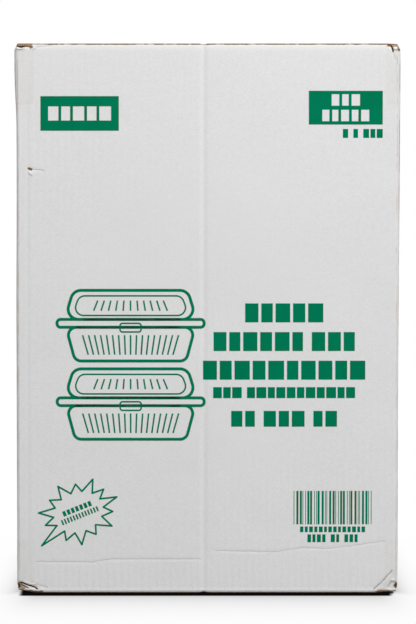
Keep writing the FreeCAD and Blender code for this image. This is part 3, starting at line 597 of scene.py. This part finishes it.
def wear_and_shade_group(relief_group):
    """The liner as a used carton shows it: its relief with the sharp middle of every crease, and its colour
    with the kraft of cracks, tears and scuffs and the dirt and painted shade that sit in them and in the
    holes.
    Each mark is a smooth step of the distance from its line, its middle or its place round a fold, made
    ragged by noise."""
    group, start, end = new_group(
        "wear_and_shade_face",
        {"Place": "Vector", "Fold Turn": "Float", "Corner Turn": "Float"},
        {"Color": "Color", "Height": "Float"},
    )
    place, fold_turn, corner_turn = start["Place"], start["Fold Turn"], start["Corner Turn"]
    relief = node(group, "ShaderNodeGroup", node_tree=relief_group)
    group.links.new(place, relief.inputs["Place"])
    xyz = node(group, "ShaderNodeSeparateXYZ", {"Vector": place}).outputs
    ragged = maths(group, "SUBTRACT", noise(group, place, 300.0, 3.0, 0.7), 0.5)
    dashes = noise(group, place, 45.0, 3.0, 0.6)

    # Sharp middles of the creases on the front, on a place that wanders a little
    wander = node(group, "ShaderNodeTexNoise", {"Vector": place, "Scale": 120.0, "Detail": 2.0})
    wander = wander.outputs["Color"]
    wander = vector_maths(group, "SUBTRACT", "Vector", a=wander, b=(0.5, 0.5, 0.5))
    wander = vector_maths(group, "SCALE", "Vector", a=wander, scale=CREASE_WANDER)
    wandered = vector_maths(group, "ADD", "Vector", a=place, b=wander)
    flat_place = vector_maths(group, "MULTIPLY", "Vector", a=wandered, b=(1.0, 0.0, 1.0))
    at_front = ramp(group, xyz["Y"], -HALF_DEPTH + 9 * MM, -HALF_DEPTH + 6 * MM)
    height, grime_and_shade, bare = 0.0, 0.0, 0.0
    # A crease's dark line is dirt with painted shade in its narrow groove
    for from_point, to_point, width, depth, darkness in CREASES:
        away = line_distance(group, flat_place, from_point, to_point)
        height = maths(group, "MULTIPLY_ADD", ramp(group, away, width, 0.0), -depth * CREASE_BITE, height)
        if darkness:
            mark = product(group, ramp(group, away, width * 0.95, width * 0.55), darkness)
            grime_and_shade = maths(group, "MAXIMUM", grime_and_shade, mark)
        if darkness > 0.4:
            bare = maths(group, "MAXIMUM", bare, ramp(group, away, width * 1.10, width * 0.80))
    for middle, half_width, half_height, kraft_share, grime_and_shade_share in SCRAPES:
        middle = (middle[0] * MM, middle[1] * MM)
        stretch = (1 / (half_width * MM), 0, 1 / (half_height * MM))
        from_middle = vector_maths(group, "SUBTRACT", "Vector", a=flat_place, b=on_front(middle))
        stretched = vector_maths(group, "MULTIPLY", "Vector", a=from_middle, b=stretch)
        away = maths(group, "ADD", vector_maths(group, "LENGTH", "Value", a=stretched), ragged)
        mark = ramp(group, away, 1.12, 0.80)
        if kraft_share:
            bare = maths(group, "MAXIMUM", bare, product(group, mark, kraft_share))
        if grime_and_shade_share:
            grime_and_shade = maths(group, "MAXIMUM", grime_and_shade, product(group, mark, grime_and_shade_share))
    grime_and_shade, bare = product(group, grime_and_shade, at_front), product(group, bare, at_front)
    creased = maths(group, "MULTIPLY_ADD", height, at_front, relief.outputs["Height"])
    group.links.new(creased, end["Height"])

    # Cracks along the flap folds: at the top they are dashes, and they stop beside the upright crease
    is_top = ramp(group, xyz["Z"], 0.2, 0.4)

    def by_end(at_base, at_top):
        """A value that is one thing at the base and another at the top."""
        return maths(group, "MULTIPLY_ADD", is_top, at_top - at_base, at_base)

    turned = maths(group, "MULTIPLY_ADD", ragged, 0.25, fold_turn)
    from_crease = maths(group, "ABSOLUTE", maths(group, "SUBTRACT", xyz["X"], CREASE))
    broken = product(group, ramp(group, dashes, 0.40, 0.52), ramp(group, from_crease, 2 * MM, 3 * MM))
    broken = maths(group, "MULTIPLY_ADD", broken, 0.60, 0.40)
    broken = maths(group, "MAXIMUM", broken, maths(group, "SUBTRACT", 1.0, is_top))
    past_start = maths(group, "SUBTRACT", turned, by_end(BASE_CRACK, TOP_CRACK))
    crack_end = ramp(group, turned, CRACK_END + 0.10, CRACK_END)
    crack = product(group, ramp(group, past_start, -0.04, 0.04), crack_end, broken)
    # A crack's dark middle is dirt with painted shade in the split, more of it at the top
    core_end = ramp(group, turned, CRACK_END, CRACK_END - 0.10)
    core_share = product(group, broken, by_end(BASE_CORE, TOP_CORE))
    core = product(group, ramp(group, past_start, 0.04, 0.12), core_end, core_share)

    # The folds' ends, where the tape tore the liner off
    ragged_x = maths(group, "MULTIPLY_ADD", ragged, 2 * MM, xyz["X"])
    left_end = ramp(group, ragged_x, LEFT + LEFT_STRIP + 0.5 * MM, LEFT + LEFT_STRIP)
    right_end = ramp(group, ragged_x, RIGHT - RIGHT_STRIP - 0.5 * MM, RIGHT - RIGHT_STRIP)
    at_end = maths(group, "MAXIMUM", left_end, right_end)
    past_tear = maths(group, "SUBTRACT", turned, by_end(BASE_TEAR, TOP_TEAR))
    tear_end = ramp(group, turned, TEAR_END + 0.20, TEAR_END)
    tear = product(group, at_end, ramp(group, past_tear, -0.06, 0.06), tear_end)
    # A tear's dark middle is dirt with painted shade on the torn kraft
    tear_core = product(group, at_end, ramp(group, turned, 0.42, 0.58), ramp(group, turned, 1.20, 1.05),
                        TEAR_CORE)

    # Lines down the upright folds where the liner is rubbed through
    rubbed = node(group, "ShaderNodeMapping", {"Vector": place, "Scale": (1.0, 1.0, 0.18)})
    rubbed = ramp(group, noise(group, rubbed.outputs["Vector"], 150.0, 3.0, 0.7), 0.40, 0.58)
    turned_aside = maths(group, "MULTIPLY_ADD", ragged, 0.16, corner_turn)
    front_scuff = band_mask(group, turned_aside, *FRONT_SCUFF, 0.06)
    side_scuff = band_mask(group, turned_aside, *SIDE_SCUFF, 0.04)
    front_scuff = product(group, front_scuff, rubbed, FRONT_SCUFF_SHARE)
    side_scuff = product(group, side_scuff, rubbed, SIDE_SCUFF_SHARE)
    for mark in (crack, tear, front_scuff, side_scuff):
        bare = maths(group, "MAXIMUM", bare, mark)
    for mark in (core, tear_core):
        grime_and_shade = maths(group, "MAXIMUM", grime_and_shade, mark)

    white = shaded(group, LINER, relief.outputs["Tone"])
    kraft = shaded(group, KRAFT, maths(group, "MULTIPLY_ADD", ragged, 1.3, 1.0))
    # Dirt with painted shade goes over the liner and the kraft
    colour = mixed(group, grime_and_shade, mixed(group, bare, white, kraft), GRIME_AND_SHADE)
    group.links.new(colour, end["Color"])
    return group


paper_relief = paper_relief_group()
wear_and_shade_face = wear_and_shade_group(paper_relief)


def new_material(name):
    """A node material, its node tree, its Principled shader and the place of what it shades."""
    material = bpy.data.materials.new(name)
    material.use_nodes = True
    tree = material.node_tree
    place = node(tree, "ShaderNodeTexCoord").outputs["Object"]
    return material, tree, tree.nodes["Principled BSDF"], place


def point_value(tree, name):
    """One of a mesh's own point values."""
    return node(tree, "ShaderNodeAttribute", attribute_name=name).outputs["Fac"]


def raise_relief(tree, shader, height, strength=1.0):
    """Gives a shader the bumps of a height in metres."""
    bump = node(tree, "ShaderNodeBump", {"Strength": strength, "Distance": 1.0, "Height": height})
    tree.links.new(bump.outputs["Normal"], shader.inputs["Normal"])


def wear_and_shade_liner(tree, shader, place, strength=1.0):
    """Gives a shader the worn liner's relief and returns the worn liner's colour, with its painted shade.
    """
    face = node(tree, "ShaderNodeGroup", node_tree=wear_and_shade_face)
    for name, value in (("Place", place), ("Fold Turn", point_value(tree, "fold_turn")),
                        ("Corner Turn", point_value(tree, "corner_turn"))):
        tree.links.new(value, face.inputs[name])
    raise_relief(tree, shader, face.outputs["Height"], strength)
    return face.outputs["Color"]


def board_material():
    """White-faced corrugated board, with the section of its flutes on its raw ends and painted shade in
    their hollows.
    """
    material, tree, shader, place = new_material("white_board")
    face = wear_and_shade_liner(tree, shader, place)
    layer = point_value(tree, "layer")
    blank = node(tree, "ShaderNodeUVMap", uv_map="blank").outputs["UV"]
    blank_x = node(tree, "ShaderNodeSeparateXYZ", {"Vector": blank}).outputs["X"]
    wave = maths(tree, "SINE", product(tree, blank_x, 2 * math.pi / FLUTE_PITCH))
    flute = maths(tree, "MULTIPLY_ADD", wave, 0.36, 0.5)
    off_flute = maths(tree, "ABSOLUTE", maths(tree, "SUBTRACT", flute, layer))
    # The gaps between the flutes are painted dark as shade
    flute_shade = product(tree, ramp(tree, off_flute, 0.06, 0.12), band_mask(tree, layer, 0.10, 0.90, 0.02))
    fibre = maths(tree, "MULTIPLY_ADD", noise(tree, place, 260.0, 4.0, 0.7), 0.9, 0.45)
    section = mixed(tree, flute_shade, shaded(tree, KRAFT, fibre), RECESS_SHADE)
    colour = mixed(tree, ramp(tree, layer, 0.04, 0.07), face, section)
    tree.links.new(colour, shader.inputs["Base Color"])
    shader.inputs["Roughness"].default_value = 0.72
    shader.inputs["Specular IOR Level"].default_value = 0.25
    return material


carton_mesh.materials.append(board_material())

# The tape
# Clear 48 mm packing tape on the seams and side edges, pressed flat on the board. It shows the liner under
# it a little darker and yellower, with the flaps' raw ends as brown lines and painted shade in the seam's
# gap.

TAPE_LIFT, INK_LIFT = 0.05 * MM, 0.03 * MM  # keeps each film's mesh clear of the bent board


def laid_film(node_name, x_cuts, z_cuts, lift):
    """A copy of a CAD film's mesh, cut into strips small enough to bend, moved with the worn board under it
    and lifted off it."""
    mesh = bpy.data.meshes.new(f"{node_name}_film")
    work = bmesh.new()
    work.from_mesh(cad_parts[node_name].data)
    bmesh.ops.remove_doubles(work, verts=work.verts, dist=1e-6)
    low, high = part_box(node_name)
    for axis, cuts in ((0, x_cuts), (2, z_cuts)):
        for place in cuts:
            if not low[axis] < place < high[axis]:
                continue
            point, direction = Vector((0, 0, 0)), Vector((0, 0, 0))
            point[axis], direction[axis] = place, 1
            everything = [*work.verts, *work.edges, *work.faces]
            bmesh.ops.bisect_plane(work, geom=everything, plane_co=point, plane_no=direction, dist=1e-7)
    true_places = np.array([v.co for v in work.verts])
    places = worn(true_places) + outward(true_places) * lift
    for vertex, place in zip(work.verts, places):
        vertex.co = place
    for face in work.faces:
        face.smooth = True
    for edge in work.edges:
        edge.smooth = len(edge.link_faces) == 2 and edge.calc_face_angle(0) < math.radians(35)
    work.to_mesh(mesh)
    work.free()
    fold_turn, corner_turn = turns(true_places)
    add_values(mesh, {"fold_turn": fold_turn, "corner_turn": corner_turn})
    film = bpy.data.objects.new(f"{node_name}_film", mesh)
    bpy.context.collection.objects.link(film)
    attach(film, "root")
    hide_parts(node_name)
    return film


def tape_material():
    """Clear glossy film: the worn liner seen through it with its painted shade, a little darker and
    yellower, streaked along its length, and painted shade in the seam's gap."""
    material, tree, shader, place = new_material("tape")
    face = wear_and_shade_liner(tree, shader, place, 0.9)
    xyz = node(tree, "ShaderNodeSeparateXYZ", {"Vector": place}).outputs
    to_side = maths(tree, "SUBTRACT", HALF_LENGTH, maths(tree, "ABSOLUTE", xyz["X"]))
    to_end = maths(tree, "MINIMUM", xyz["Z"], maths(tree, "SUBTRACT", HEIGHT, xyz["Z"]))
    raw_end = product(tree, ramp(tree, to_side, FLAP_SETBACK + 0.4 * MM, FLAP_SETBACK - 0.2 * MM),
                      ramp(tree, to_end, BOARD + 0.3 * MM, BOARD - 0.5 * MM))
    on_flap = ramp(tree, point_value(tree, "fold_turn"), 2.0, 2.4)
    # The seam's gap under the tape is painted dark as shade
    gap = ramp(tree, maths(tree, "ABSOLUTE", xyz["Y"]), SEAM / 2 + 0.2 * MM, SEAM / 2 - 0.3 * MM)
    fibre = maths(tree, "MULTIPLY_ADD", noise(tree, place, 260.0, 3.0, 0.7), 0.8, 0.4)
    seen = mixed(tree, product(tree, raw_end, 0.8), face, shaded(tree, KRAFT, fibre))
    seen = mixed(tree, product(tree, gap, on_flap, 0.9), seen, RECESS_SHADE)
    streaks = node(tree, "ShaderNodeMapping", {"Vector": place, "Scale": (1.0, 1.0, 0.12)})
    film = maths(tree, "MULTIPLY_ADD", noise(tree, streaks.outputs["Vector"], 110.0, 2.0), 0.12, 0.91)
    tinted = vector_maths(tree, "MULTIPLY", "Vector", a=seen, b=(1.0, 0.994, 0.982))
    tree.links.new(shaded(tree, tinted, film), shader.inputs["Base Color"])
    roughness = maths(tree, "MULTIPLY_ADD", noise(tree, place, 90.0, 3.0), 0.30, 0.22)
    tree.links.new(roughness, shader.inputs["Roughness"])
    shader.inputs["Specular IOR Level"].default_value = 0.4
    return material


corner_cuts_x = [x for x in front_places if abs(x) > HALF_LENGTH - CORNER_ZONE]
tape = tape_material()
for end_name in ("top", "bottom"):
    for strip in ("seam", "left_edge", "right_edge"):
        film = laid_film(f"{end_name}_{strip}_tape", corner_cuts_x, panel_heights, TAPE_LIFT)
        film.data.materials.append(tape)

# The print
# One pass of matte green flexographic ink on the front, a little uneven over the liner's fibre. Its colour
# fields, rows of blocks, drawing, star and bars are the CAD nodes' own shapes, bent with the board.

INK = (0.0, 0.206, 0.096, 1)


def ink_material():
    """Matte green ink with small pinholes over the fibre and a slow change in weight."""
    material, tree, shader, place = new_material("green_ink")
    relief = node(tree, "ShaderNodeGroup", node_tree=paper_relief)
    tree.links.new(place, relief.inputs["Place"])
    raise_relief(tree, shader, relief.outputs["Height"], 0.8)
    pinholes = ramp(tree, noise(tree, place, 700.0, 3.0, 0.7), 0.72, 0.82)
    weight = maths(tree, "MULTIPLY_ADD", noise(tree, place, 30.0, 3.0), 0.25, 0.85)
    colour = mixed(tree, product(tree, pinholes, 0.12), shaded(tree, INK, weight), LINER)
    tree.links.new(colour, shader.inputs["Base Color"])
    shader.inputs["Roughness"].default_value = 0.9
    shader.inputs["Specular IOR Level"].default_value = 0.02
    return material


ink = ink_material()
for group_name in ("left_label", "right_label", "title", "bar_pattern", "drawing", "star"):
    film = laid_film(f"{group_name}_print", front_places, panel_heights[::2], INK_LIFT)
    film.data.materials.append(ink)

# Floor, light and camera
# The ground is white to the camera, with the carton's painted dark contact shadow and its soft shade in
# front of it.

FLOOR_HALF = 4.0
FLOOR_LEVEL = -0.4 * MM
SHADE_DEPTH = 0.38  # how much darker the soft shade is where it starts
SHADE_ASIDE, SHADE_AHEAD, SHADE_EDGE = 12 * MM, 66 * MM, 19 * MM  # its reaches, and how soft its ends are
CONTACT_SHADOW_BLACK = (0.003, 0.003, 0.004, 1)  # painted shadow: the dark line where the board all but touches the ground
CONTACT_INSET, CONTACT_SHIFT = 11.5 * MM, 2 * MM  # how far its ends stop short, and how far left it lies
# How far it stands out past the front and back, and how soon it fades beside and before that
CONTACT_PROUD, CONTACT_ASIDE, CONTACT_AHEAD = 4 * MM, 9 * MM, 11 * MM
CONTACT_GAP = 12 * MM  # how near the board has to be to darken the ground
SKY_STRENGTH = 0.43
KEY_POWER, ABOVE_POWER = 57.5, 7.2
floor_corners = [(-1, -1), (1, -1), (1, 1), (-1, 1)]
floor_points = [(x * FLOOR_HALF, y * FLOOR_HALF, FLOOR_LEVEL) for x, y in floor_corners]
floor_mesh = bpy.data.meshes.new("floor")
floor_mesh.from_pydata(floor_points, [], [(0, 1, 2, 3)])
floor = bpy.data.objects.new("floor", floor_mesh)
bpy.context.collection.objects.link(floor)


def seen_share(tree):
    """1 for rays that show the ground or the sky itself, to the camera or in a gloss, and 0 for those that
    light."""
    rays = node(tree, "ShaderNodeLightPath").outputs
    in_gloss = maths(tree, "MAXIMUM", rays["Is Glossy Ray"], rays["Is Transmission Ray"])
    return maths(tree, "MAXIMUM", rays["Is Camera Ray"], in_gloss)


def distance_outside(tree, place, half_length, half_depth, length_unit, depth_unit):
    """Distance of the floor from a rectangle round the origin, each way in its own unit."""
    spread = vector_maths(tree, "ABSOLUTE", "Vector", a=place)
    beyond = vector_maths(tree, "SUBTRACT", "Vector", a=spread, b=(half_length, half_depth, 1.0))
    beyond = vector_maths(tree, "MAXIMUM", "Vector", a=beyond, b=(0.0, 0.0, 0.0))
    beyond = vector_maths(tree, "MULTIPLY", "Vector", a=beyond, b=(1 / length_unit, 1 / depth_unit, 0.0))
    return vector_maths(tree, "LENGTH", "Value", a=beyond)


def floor_material():
    """Pale ground. The camera sees plain white with the carton's soft shade, which falls off exponentially
    beside it and before it, and a painted black shadow where it all but touches."""
    material, tree, shader, place = new_material("floor")
    shader.inputs["Base Color"].default_value = (0.42, 0.42, 0.43, 1)
    shader.inputs["Roughness"].default_value = 0.9
    aside = distance_outside(tree, place, HALF_LENGTH, HALF_DEPTH - 20 * MM, SHADE_ASIDE, SHADE_EDGE)
    before = distance_outside(tree, place, HALF_LENGTH - 25 * MM, HALF_DEPTH, SHADE_EDGE, SHADE_AHEAD)
    fall = maths(tree, "EXPONENT", product(tree, maths(tree, "MINIMUM", aside, before), -1.0))
    soft = maths(tree, "MULTIPLY_ADD", fall, -SHADE_DEPTH, 1.0)
    aligned = vector_maths(tree, "ADD", "Vector", a=place, b=(CONTACT_SHIFT, 0.0, 0.0))
    contact = distance_outside(tree, aligned, HALF_LENGTH - CONTACT_INSET, HALF_DEPTH + CONTACT_PROUD,
                               CONTACT_ASIDE, CONTACT_AHEAD)
    open_sky = node(tree, "ShaderNodeAmbientOcclusion", {"Distance": CONTACT_GAP}, samples=8).outputs["AO"]
    shade = product(tree, soft, ramp(tree, contact, 0.25, 0.95), ramp(tree, open_sky, 0.10, 0.42))
    white = node(tree, "ShaderNodeEmission", {"Color": mixed(tree, shade, CONTACT_SHADOW_BLACK, (1, 1, 1, 1))})
    parts = {0: seen_share(tree), 1: shader.outputs[0], 2: white.outputs[0]}
    both = node(tree, "ShaderNodeMixShader", parts)
    tree.links.new(both.outputs[0], tree.nodes["Material Output"].inputs["Surface"])
    return material


floor_mesh.materials.append(floor_material())

world = bpy.data.worlds.new("studio")
bpy.context.scene.world = world
world.use_nodes = True
sky = world.node_tree
soft_light = sky.nodes["Background"]
soft_light.inputs["Color"].default_value = (1.0, 1.0, 1.0, 1)
soft_light.inputs["Strength"].default_value = SKY_STRENGTH
seen_white = node(sky, "ShaderNodeBackground", {"Color": (1, 1, 1, 1), "Strength": 1.0})
sky_parts = {0: seen_share(sky), 1: soft_light.outputs[0], 2: seen_white.outputs[0]}
sky_mix = node(sky, "ShaderNodeMixShader", sky_parts)
sky.links.new(sky_mix.outputs[0], sky.nodes["World Output"].inputs["Surface"])


def soft_box(name, place, aim, size, power):
    """A square area light."""
    data = bpy.data.lights.new(name, "AREA")
    data.size, data.energy = size, power
    light = bpy.data.objects.new(name, data)
    light.location = place
    light.rotation_euler = (Vector(aim) - Vector(place)).to_track_quat("-Z", "Y").to_euler()
    bpy.context.collection.objects.link(light)


soft_box("key", (0.9, -2.2, 2.6), (0, -0.1, 0.35), 1.6, KEY_POWER)
soft_box("above", (0.3, -1.2, 2.2), (0, -0.1, 0.5), 1.2, ABOVE_POWER)

CAMERA_REACH = 2.6  # from the front panel to the lens
CAMERA_HEIGHT = 0.420
VIEW_HEIGHT = 0.7068  # what the frame's height spans at the front panel
AIM = Vector((0.7 * MM, -HALF_DEPTH, 321.2 * MM))
camera_data = bpy.data.cameras.new("camera")
camera_data.sensor_fit = "VERTICAL"
camera_data.sensor_height = 36
camera = bpy.data.objects.new("camera", camera_data)
camera.location = (AIM.x, AIM.y - CAMERA_REACH, CAMERA_HEIGHT)
sight = AIM - camera.location
camera_data.lens = 36 * sight.length / VIEW_HEIGHT
camera.rotation_euler = sight.to_track_quat("-Z", "Y").to_euler()
bpy.context.collection.objects.link(camera)
bpy.context.scene.camera = camera
bpy.context.scene.view_settings.view_transform = "Standard"
